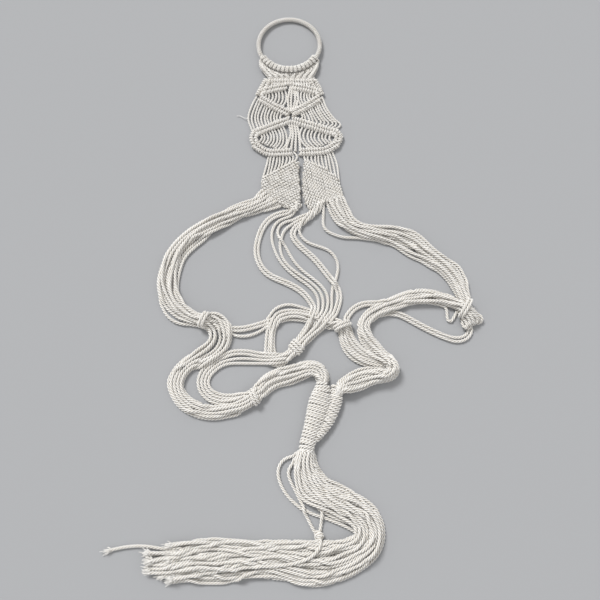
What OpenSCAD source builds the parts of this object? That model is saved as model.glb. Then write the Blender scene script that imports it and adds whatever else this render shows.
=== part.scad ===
// Hanging plant holder in knotted cotton cord, laid flat on a table.
// The ring lies towards +Y, the tassel towards -Y, and the table is the plane z = 0.
// Every length is in millimetres.

/* [Ring] */
// Outside diameter of the cord-wrapped ring
ring_d = 76; // [60:1:90]
// Thickness of the ring over its wrapping
ring_tube_d = 5; // [4:0.5:8]
// Thickness of the bare metal hoop inside the wrapping
hoop_d = 3; // [2:0.5:3]
// Lark's head knots on the ring, one for each doubled cord
head_count = 16; // [8:1:20]
// How far the knots spread round the ring to each side of its lowest point, in degrees
head_spread = 62; // [40:1:65]

/* [Cord] */
// Diameter of one cord
cord_d = 3.2; // [2.5:0.1:3.4]
// Gap left between neighbouring pieces
clear = 0.3; // [0.2:0.1:0.5]

/* [Knotwork] */
// Thickness of a row of double half hitches
row_d = 6.4; // [5:0.2:6.6]
// Distance between neighbouring cords of an open fan
fan_pitch = 3.6; // [3.5:0.1:5]
// Thickness of the two square-knot panels
panel_h = 7; // [5:0.5:9]

/* [Gather and tassel] */
// Diameter of the wrapped neck above the tassel
neck_d = 15; // [12:0.5:16]
// Height of the wrapped neck
neck_h = 12; // [8:0.5:14]
// Height of the tassel's lying bundles
tassel_h = 11; // [8:0.5:12]

/* [Hidden] */
$fn = 48;

natural = [0.93, 0.91, 0.87];
steel = [0.72, 0.73, 0.75];

// Ring: its centre line lies round ring_centre, tipped so that its far side meets the table.
ring_r = (ring_d - ring_tube_d) / 2;
ring_centre = [-17, 273, 4.5];
ring_tip = 3.2;
head_r = ring_tube_d / 2 + 2.4;
head_step = 2 * head_spread / head_count;
head_fill = 0.84;

// Waist: the line where the doubled cords enter the first row of hitches.
waist_y = 226;
waist_left = -42;
waist_right = 11;

// Vertices that the rows of hitches run between, and the ends of each row.
vertex_l1 = [-52, 208];
vertex_r1 = [19.5, 208];
vertex_c1 = [-14.5, 180.5];
vertex_l2 = [-57, 155.5];
vertex_r2 = [38, 155.5];
row_1_l = [[-50, 211.5], [-36, 216], [-20, 219]];
row_1_r = [[17.5, 211.5], [4, 216], [-12, 219]];
row_2_l = [[-50, 204.5], [-34, 194], [-19.5, 186]];
row_2_r = [[17.5, 204.5], [3, 194], [-10.5, 186]];
row_3_l = [[-55, 160], [-38, 167.8], [-19.5, 175.5]];
row_3_r = [[36, 160], [12, 168.2], [-10.5, 175.5]];
row_4_l = [[-54, 149], [-38, 139], [-14, 137]];
row_4_r = [[37, 149], [20, 140], [-5, 137]];

// Panels: outlines as seen from above, anticlockwise.
panel_l = [[-5, 126], [-12, 124], [-20, 120], [-28, 116], [-34, 112], [-42, 108], [-47, 103],
           [-46, 92], [-22, 71], [-10, 66], [-5, 72], [-4, 85], [-5, 100], [-6, 112]];
panel_r = [[0, 127], [-1, 112], [-2, 95], [-1, 85], [1, 76], [5, 69], [12, 69], [19, 74],
           [43, 84], [39, 98], [36, 106], [28, 112], [20, 118], [10, 123]];

// Routes: each point is [x, y, z, width, height], with z at the middle of the cord or bundle.
arm_left_route = [
  [-39, 77, 3.4, 15, 6.4], [-52, 73, 3.5, 15, 7], [-70, 67, 3.6, 15, 7.2], [-88, 58, 3.6, 15, 7.2],
  [-106, 48, 3.6, 16, 7.2], [-121, 37, 3.6, 16, 7], [-133, 23, 3.5, 17, 6.8], [-141, 8, 3.4, 18, 6.6],
  [-145, -9, 3.4, 19, 6.6], [-143, -24, 3.4, 19, 6.6], [-135, -38, 3.6, 17, 7], [-123, -48, 4, 15, 8],
  [-114, -53, 5, 13, 9]];
loop_left_outer_route = [
  [-95, -59, 4.6, 13, 8], [-89, -63, 4, 14, 7], [-87, -70, 3.6, 14, 7], [-92, -80, 3.6, 13, 7],
  [-104, -90, 3.6, 13, 7], [-117, -99, 3.6, 13, 7], [-127, -109, 3.6, 13, 7], [-131, -121, 3.6, 13, 7],
  [-127, -133, 3.6, 13, 7], [-117, -143, 3.6, 13, 7], [-102, -149, 3.6, 12, 7], [-86, -150, 3.6, 12, 7],
  [-71, -147, 3.6, 11, 7], [-60, -142.5, 4, 9, 7.6]];
loop_left_inner_route = [
  [-20, -96, 5, 9, 6], [-28, -96.5, 3.4, 10, 5], [-38, -95.5, 2.2, 11, 4.2], [-50, -94, 2, 12, 3.8],
  [-65, -92.5, 2, 12, 3.8], [-79, -94, 2, 11, 3.8], [-91, -99.5, 2.2, 9, 4.2], [-100, -108, 2.8, 8, 5.4],
  [-104, -118, 3, 8, 5.8], [-101, -128, 3, 8, 5.8], [-91, -135.5, 3, 8, 5.8], [-78, -138, 3, 8, 5.8],
  [-66, -136, 3.2, 8, 6], [-60, -133.5, 3.6, 7, 6.6]];
tie_left_route = [[-76, -67, 1.7, 8, 3.4], [-66, -67.5, 1.7, 9, 3.4], [-54, -65.5, 1.7, 8, 3.4],
                  [-44.5, -61.5, 1.7, 7, 3.4]];
lead_left_route = [
  [-43, -127, 4.6, 12, 9], [-38, -120, 4.4, 13, 8.6], [-28, -115, 4.2, 13, 8.2], [-15, -111, 4.2, 13, 8.2],
  [-3, -107.5, 4.4, 12, 8.6], [7, -104, 4.8, 11, 9.4], [14, -104.5, 5.2, 10, 10], [18, -110, 5.4, 10, 10.4],
  [19, -118, 5.4, 11, 10.4]];
centre_sweep_route = [[15, 66, 2.8, 7, 5.4], [10, 61, 2.8, 8, 5.4], [2, 58, 2.8, 8, 5.4], [-6, 57.5, 2.8, 7, 5.4]];
middle_1_route = [
  [-17, 65.5, 1.7, 5, 3.4], [-28, 63.5, 1.7, 6, 3.4], [-39, 57, 1.7, 6.4, 3.4], [-46, 46, 1.7, 6.4, 3.4],
  [-50, 32, 1.7, 6.4, 3.4], [-51, 20, 1.7, 6.4, 3.4], [-48, 8, 1.7, 6.4, 3.4], [-41, -3, 1.7, 6.4, 3.4],
  [-30, -9.5, 1.7, 6.4, 3.4], [-17, -15, 1.7, 6.4, 3.4], [-6, -21, 1.7, 6.4, 3.4], [3, -29, 3.5, 6, 3.4],
  [8, -37.5, 6.6, 6, 3.4]];
middle_2_route = [
  [-14, 60.5, 1.7, 3.4, 3.4], [-22, 59, 1.7, 3.4, 3.4], [-30, 54, 1.7, 3.4, 3.4], [-34.5, 45, 1.7, 3.4, 3.4],
  [-34.5, 33, 1.7, 3.4, 3.4], [-31, 21, 1.7, 3.4, 3.4], [-26, 10, 1.7, 3.4, 3.4], [-18, 0, 1.7, 3.4, 3.4],
  [-8, -8.5, 1.7, 3.4, 3.4], [3, -16, 1.7, 3.4, 3.4], [11, -23.5, 1.8, 3.4, 3.4], [15, -32, 4, 3.4, 3.4],
  [15.5, -39, 6.8, 3.4, 3.4]];
middle_3_route = [
  [-13, 55.5, 1.7, 3.4, 3.4], [-20, 55, 1.7, 3.4, 3.4], [-27, 50, 1.7, 3.4, 3.4], [-29.5, 42, 2.6, 3.4, 3.4],
  [-26, 34, 5.4, 3.4, 3.4], [-20.5, 27, 3, 3.4, 3.4], [-15, 16, 1.7, 3.4, 3.4], [-8, 6, 1.7, 3.4, 3.4],
  [1, -3, 1.7, 3.4, 3.4], [12, -12, 1.7, 3.4, 3.4], [21.5, -22, 2, 3.4, 3.4], [25, -31, 4, 3.4, 3.4],
  [25, -38, 6.8, 3.4, 3.4]];
middle_4_route = [
  [-13, 51.5, 1.7, 3.4, 3.4], [-19, 48, 1.7, 3.4, 3.4], [-23.5, 41, 1.7, 3.4, 3.4], [-25.5, 33, 1.7, 3.4, 3.4],
  [-26, 24, 1.7, 3.4, 3.4], [-23.5, 14, 1.7, 3.4, 3.4], [-19, 6.5, 1.7, 3.4, 3.4], [-11.5, -0.5, 1.7, 3.4, 3.4],
  [-2, -7.5, 1.7, 3.4, 3.4], [8, -14.5, 1.7, 3.4, 3.4], [16, -22.5, 2, 3.4, 3.4], [19.8, -31, 4, 3.4, 3.4],
  [20, -38.5, 6.8, 3.4, 3.4]];
middle_5_route = [
  [-11, 46.5, 1.7, 5, 3.4], [-13.5, 41, 1.7, 6, 3.4], [-10, 33, 1.7, 6.4, 3.4], [-3, 25, 1.7, 6.4, 3.4],
  [5, 18, 1.7, 6.4, 3.4], [13, 10, 1.7, 6.4, 3.4], [20, 1, 2.4, 6.2, 3.4], [27, -8, 5, 5.6, 3.4],
  [32.5, -17, 5.6, 5.6, 3.4], [35.5, -27, 5, 6, 3.4], [34.5, -37, 6.8, 6, 3.4]];
middle_6_route = [
  [-5, 51.5, 1.7, 3.4, 3.4], [-6.5, 44, 1.7, 3.4, 3.4], [-3, 36.5, 1.7, 3.4, 3.4], [5, 30, 1.7, 3.4, 3.4],
  [15, 27, 1.7, 3.4, 3.4], [25.5, 23, 1.7, 3.4, 3.4], [33, 15, 1.7, 3.4, 3.4], [36, 4, 1.7, 3.4, 3.4],
  [34.5, -6, 1.7, 3.4, 3.4], [31, -15, 1.7, 3.4, 3.4], [29.5, -25, 2.6, 3.4, 3.4], [29.5, -32, 4.4, 3.4, 3.4],
  [29.5, -38, 6.8, 3.4, 3.4]];
middle_bundle_route = [[20.5, -44, 7.8, 31, 7.6], [16, -53, 7.8, 25, 7.6], [10, -62, 7, 19, 9], [4, -69, 6.6, 15, 11]];
upright_left_route = [
  [-35, -87.5, 1.9, 8, 3.6], [-35, -76, 1.9, 8, 3.6], [-35, -66, 1.9, 8, 3.6], [-33, -57, 1.8, 9, 3.4],
  [-27, -50.5, 1.8, 10, 3.4], [-17, -46.5, 1.8, 11, 3.4], [-5, -46.5, 1.8, 11, 3.4], [7, -48.5, 1.8, 10, 3.4],
  [19, -52, 1.8, 9, 3.4], [28.5, -56.5, 1.8, 8, 3.4]];
arm_right_route = [
  [35, 71, 4, 16, 7], [38.5, 62, 4, 16, 7], [44, 53, 4, 15, 7], [54, 46, 4, 15, 7],
  [68, 41.5, 3.6, 15, 7], [82, 39.5, 3.6, 15, 7], [96, 38, 3.6, 16, 7], [109, 33, 3.6, 17, 7],
  [121, 25.5, 3.6, 17, 7], [133, 16.5, 3.6, 15, 7], [144, 7, 3.6, 14, 7], [154, -4, 3.6, 14, 7],
  [161, -15, 3.6, 14, 7], [165, -26, 3.6, 13, 7], [166.5, -34, 3.6, 12, 7]];
slack_cord_route = [
  [20.5, 68, 1.7, 3.4, 3.4], [20.5, 59, 1.7, 3.4, 3.4], [20, 51, 1.7, 3.4, 3.4], [23, 45, 1.7, 3.4, 3.4],
  [31, 41, 1.7, 3.4, 3.4], [41, 37, 1.7, 3.4, 3.4]];
fold_right_route = [[170, -62, 4, 14, 7], [178, -60.5, 4, 15, 7], [183, -57.5, 4, 13, 7], [186.4, -54.5, 4, 7, 6]];
return_right_route = [
  [155, -36, 4, 10, 7], [146, -33, 3.8, 11, 7], [134, -31, 3.6, 13, 7], [121, -31, 3.6, 14, 7],
  [109, -33, 3.6, 13, 7], [98, -37, 3.6, 12, 7], [87, -42, 3.6, 11, 7], [76, -46, 3.6, 11, 7],
  [66.5, -52, 3.6, 11, 7], [61.5, -61, 3.6, 10, 7], [63.5, -71, 3.6, 10, 6.6], [70, -81, 3, 11, 5.8],
  [77, -89, 2.7, 11, 5.2], [82, -95, 2.7, 10, 5.2]];
return_branch_route = [[76, -36, 1.7, 6, 3.4], [67, -36, 1.7, 7, 3.4], [57, -38.5, 1.7, 7, 3.4],
                       [49, -44, 1.8, 7, 3.4], [45.5, -50, 2.4, 6.4, 3.6]];
loop_right_route = [
  [100, -48.5, 1.7, 6, 3.4], [108, -52.5, 1.7, 6, 3.4], [118, -59, 1.7, 6.4, 3.4], [130, -66, 1.7, 6.4, 3.4],
  [142, -71.5, 1.7, 6.4, 3.4], [153, -74.5, 1.7, 6.4, 3.4], [162, -75, 1.7, 5, 3.4], [168, -72.5, 1.7, 3.4, 3.4]];
lower_right_in_route = [
  [44.5, -72, 2.8, 13, 5.4], [48, -80, 2.7, 16, 5.2], [54, -89, 2.7, 17, 5.2], [63, -98, 2.7, 16, 5.2],
  [74, -104.5, 2.7, 14, 5.2], [81, -106.5, 2.7, 11, 5.2]];
lower_right_out_route = [
  [82, -108, 8.4, 15, 5.2], [74, -110.5, 8.4, 19, 5.2], [64, -113.5, 8.4, 23, 5.2], [54, -117, 8.2, 23, 5.6],
  [46, -120, 7, 17, 8], [38, -121.5, 6.4, 10, 9]];
gather_front_route = [
  [18.5, -121, 6, 11, 11], [16.5, -130, 6.2, 16, 12], [13.5, -142, 6.2, 20, 12], [10, -153, 6.2, 18, 12],
  [6.5, -163, 6.2, 15.5, 12], [3.5, -171, 6, 13, 11.6], [2.4, -176, 6, 12, 11.6]];
gather_side_route = [
  [33, -123.5, 5, 10, 9.6], [33, -133, 5, 11, 9.6], [29.5, -145, 5, 11, 9.6], [24, -157, 5, 10, 9.6],
  [17, -168, 5, 8, 9.6]];
tassel_route = [
  [2, -194, 6, 16, tassel_h], [7, -207, 6, 20, tassel_h], [17, -221, 5.8, 25, tassel_h],
  [31, -231, 5.8, 28, tassel_h], [48, -239, 5.8, 28, tassel_h], [60.5, -249, 5.8, 25, tassel_h],
  [65, -262, 5.8, 22, tassel_h], [59.5, -275, 5.8, 23, tassel_h], [45, -284, 5.8, 27, tassel_h],
  [26, -290, 5.8, 32, tassel_h], [2, -292.5, 5.8, 38, tassel_h], [-25, -288.5, 5.8, 31, tassel_h],
  [-50, -288, 5.8, 32, tassel_h], [-75, -290, 5.8, 35, tassel_h], [-100, -290, 5.8, 36, tassel_h],
  [-120, -292, 5.8, 34, tassel_h], [-132, -293, 5.8, 32, tassel_h]];
tassel_parts = 3;
tassel_1_route = [
  [-7, -192, 3, 3.4, 3.4], [-16, -193, 2, 3.4, 3.4], [-23, -198, 1.7, 3.4, 3.4], [-26, -208, 1.7, 3.4, 3.4],
  [-23, -220, 1.7, 3.4, 3.4], [-17, -231, 1.7, 3.4, 3.4], [-7, -240, 1.7, 3.4, 3.4], [5, -246, 1.7, 3.4, 3.4],
  [20, -250, 1.7, 3.4, 3.4], [35, -256.5, 1.7, 3.4, 3.4], [45, -262, 1.7, 3.4, 3.4]];
tassel_2_route = [
  [-8, -198, 2, 3.4, 3.4], [-14.5, -201, 1.7, 3.4, 3.4], [-16.5, -208, 1.7, 3.4, 3.4], [-13, -217, 1.7, 3.4, 3.4],
  [-8, -227, 2.6, 3.4, 3.4], [-4.5, -235, 5, 3.4, 3.4], [-1.5, -243, 5.4, 3.4, 3.4], [3, -252, 2.6, 3.4, 3.4],
  [8.5, -261, 2, 3.4, 3.4]];
tassel_3_route = [[15, -238, 3.4, 3.4, 3.4], [16.5, -244, 5, 3.4, 3.4], [16.5, -250, 5.4, 3.4, 3.4],
                  [15.5, -256, 3.6, 3.4, 3.4], [14.5, -261.5, 3, 3.4, 3.4]];
lone_cord_route = [[-137, -279, 3, 3.4, 3.4], [-146, -276.5, 1.8, 3.4, 3.4], [-158, -275, 1.7, 3.4, 3.4],
                   [-170, -276.5, 1.7, 3.4, 3.4], [-178, -278.8, 1.8, 3.6, 3.4],
                   [-183, -280.6, 3, 6.4, 6], [-188, -281.5, 3, 5.4, 5]];

function unit(v) = v / norm(v);

// Smooth curve through hand-set points, sampled the given number of times between each pair.
function route_at(p, i, t) =
  let (n = len(p) - 1, a = p[max(i - 1, 0)], b = p[i], c = p[min(i + 1, n)], d = p[min(i + 2, n)])
  0.5 * (2 * b + (c - a) * t + (2 * a - 5 * b + 4 * c - d) * t * t + (3 * b - a - 3 * c + d) * t * t * t);
function smooth_route(p, steps) =
  [for (i = [0:len(p) - 2]) for (k = [0:steps - 1]) route_at(p, i, k / steps), p[len(p) - 1]];

// Direction, sideways vector and ring of points of a tube at sample i.
function spot(r, i) = [r[i][0], r[i][1], r[i][2]];
function heading(r, i) = unit(spot(r, min(i + 1, len(r) - 1)) - spot(r, max(i - 1, 0)));
function sideways(r, i) = unit(cross([0, 0, 1], heading(r, i)));
function tube_ring(r, i, sides) =
  let (side = sideways(r, i), up = cross(heading(r, i), side))
  [for (k = [0:sides - 1]) let (a = 360 * (k + 0.5) / sides)
    spot(r, i) + side * r[i][3] / 2 * cos(a) + up * r[i][4] / 2 * sin(a)];

// Closed tube with an oval section swept along sampled points.
module swept_tube(r, sides = 8) {
  rings = len(r);
  points = [for (i = [0:rings - 1]) each tube_ring(r, i, sides)];
  walls = [for (i = [0:rings - 2]) for (k = [0:sides - 1])
    let (a = i * sides + k, b = i * sides + (k + 1) % sides, c = a + sides, d = b + sides)
    each [[a, d, b], [a, c, d]]];
  start = [for (k = [0:sides - 1]) k];
  end = [for (k = [sides - 1:-1:0]) (rings - 1) * sides + k];
  polyhedron(points, concat(walls, [start, end]));
}
module cord_tube(route, steps = 2) {
  color(natural) swept_tube(smooth_route(route, steps));
}

// One of several equal bundles that lie side by side along a route.
function share_of_route(r, index, count) =
  [for (i = [0:len(r) - 1])
    let (part = r[i][3] / count, at = spot(r, i) + sideways(r, i) * part * (index - (count - 1) / 2))
    [at[0], at[1], at[2], part - clear, r[i][4]]];

// Row of double half hitches: a round bar curving through its points.
module hitch_row(points) {
  cord_tube([for (p = points) [p[0], p[1], row_d / 2, row_d, row_d]], 3);
}

// Fan of cords: arcs round a vertex, from under the upper row to over the lower row.
function row_heading(row) = let (d = row[len(row) - 1] - row[0]) atan2(d[1], d[0]);
function row_offset(row, v) = let (a = row_heading(row), d = v - row[0]) cos(a) * d[1] - sin(a) * d[0];
function row_angle(row, v, r, side) = row_heading(row) + asin((side - row_offset(row, v)) / r);
module fan(vertex, upper, lower, first, count) {
  reach = row_d / 2 + 1.2;
  color(natural) for (k = [0:count - 1]) {
    r = first + k * fan_pitch;
    top = row_angle(upper, vertex, r, -reach);
    low = row_angle(lower, vertex, r, reach);
    translate([vertex[0], vertex[1], cord_d / 2]) rotate([0, 0, low])
      rotate_extrude(angle = top - low) translate([r, 0]) circle(d = cord_d);
  }
}
function flip(points) = [for (p = points) [-p[0], p[1]]];
function backwards(points) = [for (i = [len(points) - 1:-1:0]) points[i]];
module mirrored_fan(vertex, upper, lower, first, count) {
  mirror([1, 0, 0]) fan([-vertex[0], vertex[1]], flip(upper), flip(lower), first, count);
}

// Straight cord lying between two points on the table plane.
module straight_cord(from, to, d = cord_d) {
  span = to - from;
  translate([from[0], from[1], d / 2]) rotate([0, 90, atan2(span[1], span[0])]) cylinder(h = norm(span), d = d);
}

// Knot: a turned barrel along the cords, waisted between its two wraps.
module knot(from, to, d) {
  span = to - from;
  long = norm(span) + d * 0.5;
  profile = [[0, 0], [0.28, 0], [0.42, 0.08], [0.5, 0.22], [0.5, 0.34], [0.44, 0.46], [0.44, 0.54],
             [0.5, 0.66], [0.5, 0.78], [0.42, 0.92], [0.28, 1], [0, 1]];
  mid = (from + to) / 2;
  color(natural) translate([mid[0], mid[1], d / 2]) rotate([0, 90, atan2(span[1], span[0])])
    translate([0, 0, -long / 2]) rotate_extrude() polygon([for (p = profile) [p[0] * d, p[1] * long]]);
}

module at_ring() {
  translate(ring_centre) rotate([-ring_tip, 0, 0]) children();
}
module ring_hoop() {
  color(steel) at_ring() rotate_extrude($fn = 96) translate([ring_r, 0]) circle(d = hoop_d);
}
module ring_wrap() {
  color(natural) at_ring() rotate_extrude($fn = 96) translate([ring_r, 0]) difference() {
    circle(d = ring_tube_d);
    circle(d = hoop_d + 0.1);
  }
}
module lark_heads() {
  color(natural) at_ring() for (i = [0:head_count - 1])
    rotate([0, 0, -90 - head_spread + head_step * (i + 0.5 - head_fill / 2)])
      rotate_extrude(angle = head_step * head_fill) translate([ring_r, 0]) difference() {
        circle(r = head_r);
        circle(d = ring_tube_d + 2 * clear);
      }
}
module leader_cords() {
  top_r = ring_r + head_r + clear;
  foot_y = waist_y + row_d / 2 + clear;
  foot_step = (waist_right - waist_left) / head_count;
  color(natural) for (i = [0:head_count - 1]) {
    mid = -90 - head_spread + head_step * (i + 0.5);
    half = head_step * head_fill / 3;
    foot = waist_left + foot_step * (i + 0.5);
    left = [ring_centre[0], ring_centre[1]] + top_r * [cos(mid - half), sin(mid - half)];
    right = [ring_centre[0], ring_centre[1]] + top_r * [cos(mid + half), sin(mid + half)];
    translate([0, 0, clear]) linear_extrude(height = row_d - 2)
      polygon([left, [foot - foot_step * 0.44, foot_y], [foot + foot_step * 0.44, foot_y], right]);
  }
}
module hinge_row() {
  color(natural) translate([waist_left + 1, waist_y, row_d / 2]) rotate([0, 90, 0])
    cylinder(h = waist_right - waist_left - 2, d = row_d);
}
module row_1_left() { hitch_row(row_1_l); }
module row_1_right() { hitch_row(row_1_r); }
module row_2_left() { hitch_row(row_2_l); }
module row_2_right() { hitch_row(row_2_r); }
module row_3_left() { hitch_row(row_3_l); }
module row_3_right() { hitch_row(row_3_r); }
module row_4_left() { hitch_row(row_4_l); }
module row_4_right() { hitch_row(row_4_r); }
module fan_1_left() { fan(vertex_l1, row_1_l, row_2_l, 9, 7); }
module fan_1_right() { mirrored_fan(vertex_r1, row_1_r, row_2_r, 9, 6); }
module fan_2_left() { mirrored_fan(vertex_c1, backwards(row_2_l), backwards(row_3_l), 12, 11); }
module fan_2_right() { fan(vertex_c1, backwards(row_2_r), backwards(row_3_r), 12, 12); }
module fan_3_left() { fan(vertex_l2, row_3_l, row_4_l, 10, 8); }
module fan_3_right() { mirrored_fan(vertex_r2, row_3_r, row_4_r, 10, 9); }
module centre_cords() {
  color(natural) {
    for (x = [-17.8, -14.4, -11]) straight_cord([x, 197], [x, 212]);
    for (x = [-18, -14.5, -11, -7.5]) straight_cord([x, 143], [x, 168]);
  }
}
module panel_cords() {
  color(natural) {
    for (k = [0:5]) straight_cord([-36 + 4.5 * k, 131], [-39 + 5 * k, 114 + 2 * k]);
    for (k = [0:5]) straight_cord([3 + 4.5 * k, 131.5], [6.5 + 5 * k, 127.5 - 3 * k]);
  }
}
module panel(outline) {
  color(natural) linear_extrude(height = panel_h) polygon(outline);
}
module panel_left() { panel(panel_l); }
module panel_right() { panel(panel_r); }
module arm_left() { cord_tube(arm_left_route); }
module knot_left() { knot([-106, -56], [-102, -57], 15); }
module loop_left_outer() { cord_tube(loop_left_outer_route); }
module loop_left_inner() { cord_tube(loop_left_inner_route); }
module tie_left() { cord_tube(tie_left_route); }
module knot_lower_left() { knot([-53, -137], [-49, -133.5], 14); }
module lead_left() { cord_tube(lead_left_route); }
module centre_sweep() { cord_tube(centre_sweep_route); }
module middle_cord_1() { cord_tube(middle_1_route); }
module middle_cord_2() { cord_tube(middle_2_route); }
module middle_cord_3() { cord_tube(middle_3_route); }
module middle_cord_4() { cord_tube(middle_4_route); }
module middle_cord_5() { cord_tube(middle_5_route); }
module middle_cord_6() { cord_tube(middle_6_route); }
module middle_bundle() { cord_tube(middle_bundle_route); }
module knot_middle() { knot([-5, -80], [-11, -88], 16); }
module upright_left() { cord_tube(upright_left_route); }
module knot_centre_right() { knot([38.5, -58], [41.5, -62.5], 13); }
module arm_right() { cord_tube(arm_right_route); }
module slack_cord() { cord_tube(slack_cord_route); }
module knot_right() { knot([165, -44], [173, -47], 15); }
module fold_right() { cord_tube(fold_right_route); }
module return_right() { cord_tube(return_right_route); }
module return_branch() { cord_tube(return_branch_route); }
module loop_right() { cord_tube(loop_right_route); }
module lower_right_in() { cord_tube(lower_right_in_route); }
module lower_right_out() { cord_tube(lower_right_out_route); }
module gather_front() { cord_tube(gather_front_route); }
module gather_side() { cord_tube(gather_side_route); }
module gather_neck() {
  color(natural) translate([2, -184, 0]) cylinder(h = neck_h, d = neck_d);
}
module tassel_bundles() {
  for (k = [0:tassel_parts - 1])
    color(natural) swept_tube(share_of_route(smooth_route(tassel_route, 2), k, tassel_parts));
}
module tassel_cord_1() { cord_tube(tassel_1_route); }
module tassel_cord_2() { cord_tube(tassel_2_route); }
module tassel_cord_3() { cord_tube(tassel_3_route); }
module overhand_knot() { knot([13, -266.5], [14.5, -268.5], 8.4); }
module lone_cord() { cord_tube(lone_cord_route); }
module frayed_tips() {
  color(natural) for (k = [0:7])
    translate([-133.8, -283.6 - 3.3 * k, 3 + k % 2 * 3]) rotate([0, -90, 6 * (k % 3 - 1)])
      cylinder(h = 13 - k % 3 * 3, d1 = 2.6, d2 = 3.4);
}

ring_hoop();
ring_wrap();
lark_heads();
leader_cords();
hinge_row();
row_1_left();
row_1_right();
row_2_left();
row_2_right();
row_3_left();
row_3_right();
row_4_left();
row_4_right();
fan_1_left();
fan_1_right();
fan_2_left();
fan_2_right();
fan_3_left();
fan_3_right();
centre_cords();
panel_cords();
panel_left();
panel_right();
arm_left();
knot_left();
loop_left_outer();
loop_left_inner();
tie_left();
knot_lower_left();
lead_left();
centre_sweep();
middle_cord_1();
middle_cord_2();
middle_cord_3();
middle_cord_4();
middle_cord_5();
middle_cord_6();
middle_bundle();
knot_middle();
upright_left();
knot_centre_right();
arm_right();
slack_cord();
knot_right();
fold_right();
return_right();
return_branch();
loop_right();
lower_right_in();
lower_right_out();
gather_front();
gather_side();
gather_neck();
tassel_bundles();
tassel_cord_1();
tassel_cord_2();
tassel_cord_3();
overhand_knot();
lone_cord();
frayed_tips();
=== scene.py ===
import math
import bpy
import numpy as np
from mathutils.kdtree import KDTree
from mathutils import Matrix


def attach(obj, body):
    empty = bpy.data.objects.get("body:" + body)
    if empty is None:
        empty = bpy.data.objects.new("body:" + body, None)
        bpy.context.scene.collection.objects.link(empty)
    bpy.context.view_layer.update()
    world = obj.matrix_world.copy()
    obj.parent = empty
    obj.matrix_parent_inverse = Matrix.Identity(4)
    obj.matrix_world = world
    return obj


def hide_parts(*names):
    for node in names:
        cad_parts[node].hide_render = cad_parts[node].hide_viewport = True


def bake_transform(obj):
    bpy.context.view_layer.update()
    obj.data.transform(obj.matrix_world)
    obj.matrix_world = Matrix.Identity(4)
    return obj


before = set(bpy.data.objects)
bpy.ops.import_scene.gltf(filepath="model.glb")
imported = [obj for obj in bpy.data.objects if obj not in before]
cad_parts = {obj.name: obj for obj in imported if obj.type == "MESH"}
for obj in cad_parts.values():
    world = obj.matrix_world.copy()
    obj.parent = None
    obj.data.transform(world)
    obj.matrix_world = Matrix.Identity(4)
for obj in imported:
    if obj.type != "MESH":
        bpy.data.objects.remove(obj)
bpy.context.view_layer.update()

# Lengths below are in millimetres and become metres when a mesh is made.
MM = 0.001
R = 1.6                 # radius of one cord
CORD_ENDS = 32          # sixteen doubled cords hang from the ring
TASSEL_CORDS = 28       # those that lie together in the tassel
ARM_CORDS = 12          # those in each side arm
LOWER_CORDS = 9         # those below the knot at the centre right
HEADS = 16              # lark's heads on the ring
RING_CENTRE = np.array([-17.0, 273.0, 4.5])
RING_R = 35.5           # radius of the ring, to the middle of its wire
TIP = math.radians(3.2)  # how far the ring tips, since its loops lift one side
rng = np.random.default_rng(11)

# ---------------------------------------------------------------- camera
cam = bpy.data.cameras.new("camera")
cam.lens = 42
cam.sensor_width = 36
cam.clip_start = 0.01
cam.clip_end = 20
camera = bpy.data.objects.new("camera", cam)
camera.location = (-0.0045, -0.2285, 0.707)
camera.rotation_euler = (math.radians(15.5), 0, 0)
bpy.context.scene.collection.objects.link(camera)
bpy.context.scene.camera = camera


# ---------------------------------------------------------------- lines
def smooth(points, per=8):
    """Catmull-Rom curve through the rows of points."""
    p = np.asarray(points, float)
    q = np.vstack([2 * p[0] - p[1], p, 2 * p[-1] - p[-2]])
    t = (np.arange(per) / per)[:, None]
    out = []
    for i in range(len(p) - 1):
        a, b, c, d = q[i:i + 4]
        out.append(0.5 * (2 * b + (c - a) * t + (2 * a - 5 * b + 4 * c - d) * t ** 2
                          + (3 * b - a - 3 * c + d) * t ** 3))
    return np.vstack(out + [p[-1:]])


def along(p):
    """Distance along a line at each of its points."""
    return np.concatenate([[0], np.cumsum(np.linalg.norm(np.diff(p[:, :3], axis=0), axis=1))])


def resample(p, step):
    """The same line with its points evenly spaced, about a step apart."""
    s = along(p)
    n = max(3, int(round(s[-1] / step)) + 1)
    at = np.linspace(0, s[-1], n)
    return np.stack([np.interp(at, s, p[:, k]) for k in range(p.shape[1])], 1)


def headings(p):
    """Unit direction of a line at each of its points."""
    t = np.gradient(p[:, :3], axis=0)
    return t / np.maximum(np.linalg.norm(t, axis=1), 1e-9)[:, None]


def sideways(p):
    """Unit direction to the left of a line, in the plane of the table, at each of its points."""
    t = headings(p)
    n = np.stack([-t[:, 1], t[:, 0]], 1)
    return n / np.maximum(np.linalg.norm(n, axis=1), 1e-9)[:, None]


def coil(path, pitch, cord=R, slant=0.0, phase=0.0, jitter=0.0):
    """Cord wound round a route whose rows are x, y, z, width, height over all."""
    p = resample(smooth(path, 6), 0.3)
    s = along(p)
    a = 2 * np.pi * s / pitch + phase
    if jitter:
        a = a + jitter * np.sin(s * 0.9 + phase * 3) + jitter * np.sin(s * 0.37 + 1)
    n, t = sideways(p), headings(p)
    out = p[:, :3].copy()
    out[:, :2] += n * ((p[:, 3] / 2 - cord) * np.cos(a))[:, None]
    out += t * (slant * np.cos(a))[:, None]
    out[:, 2] += (p[:, 4] / 2 - cord) * np.sin(a)
    return out


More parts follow.
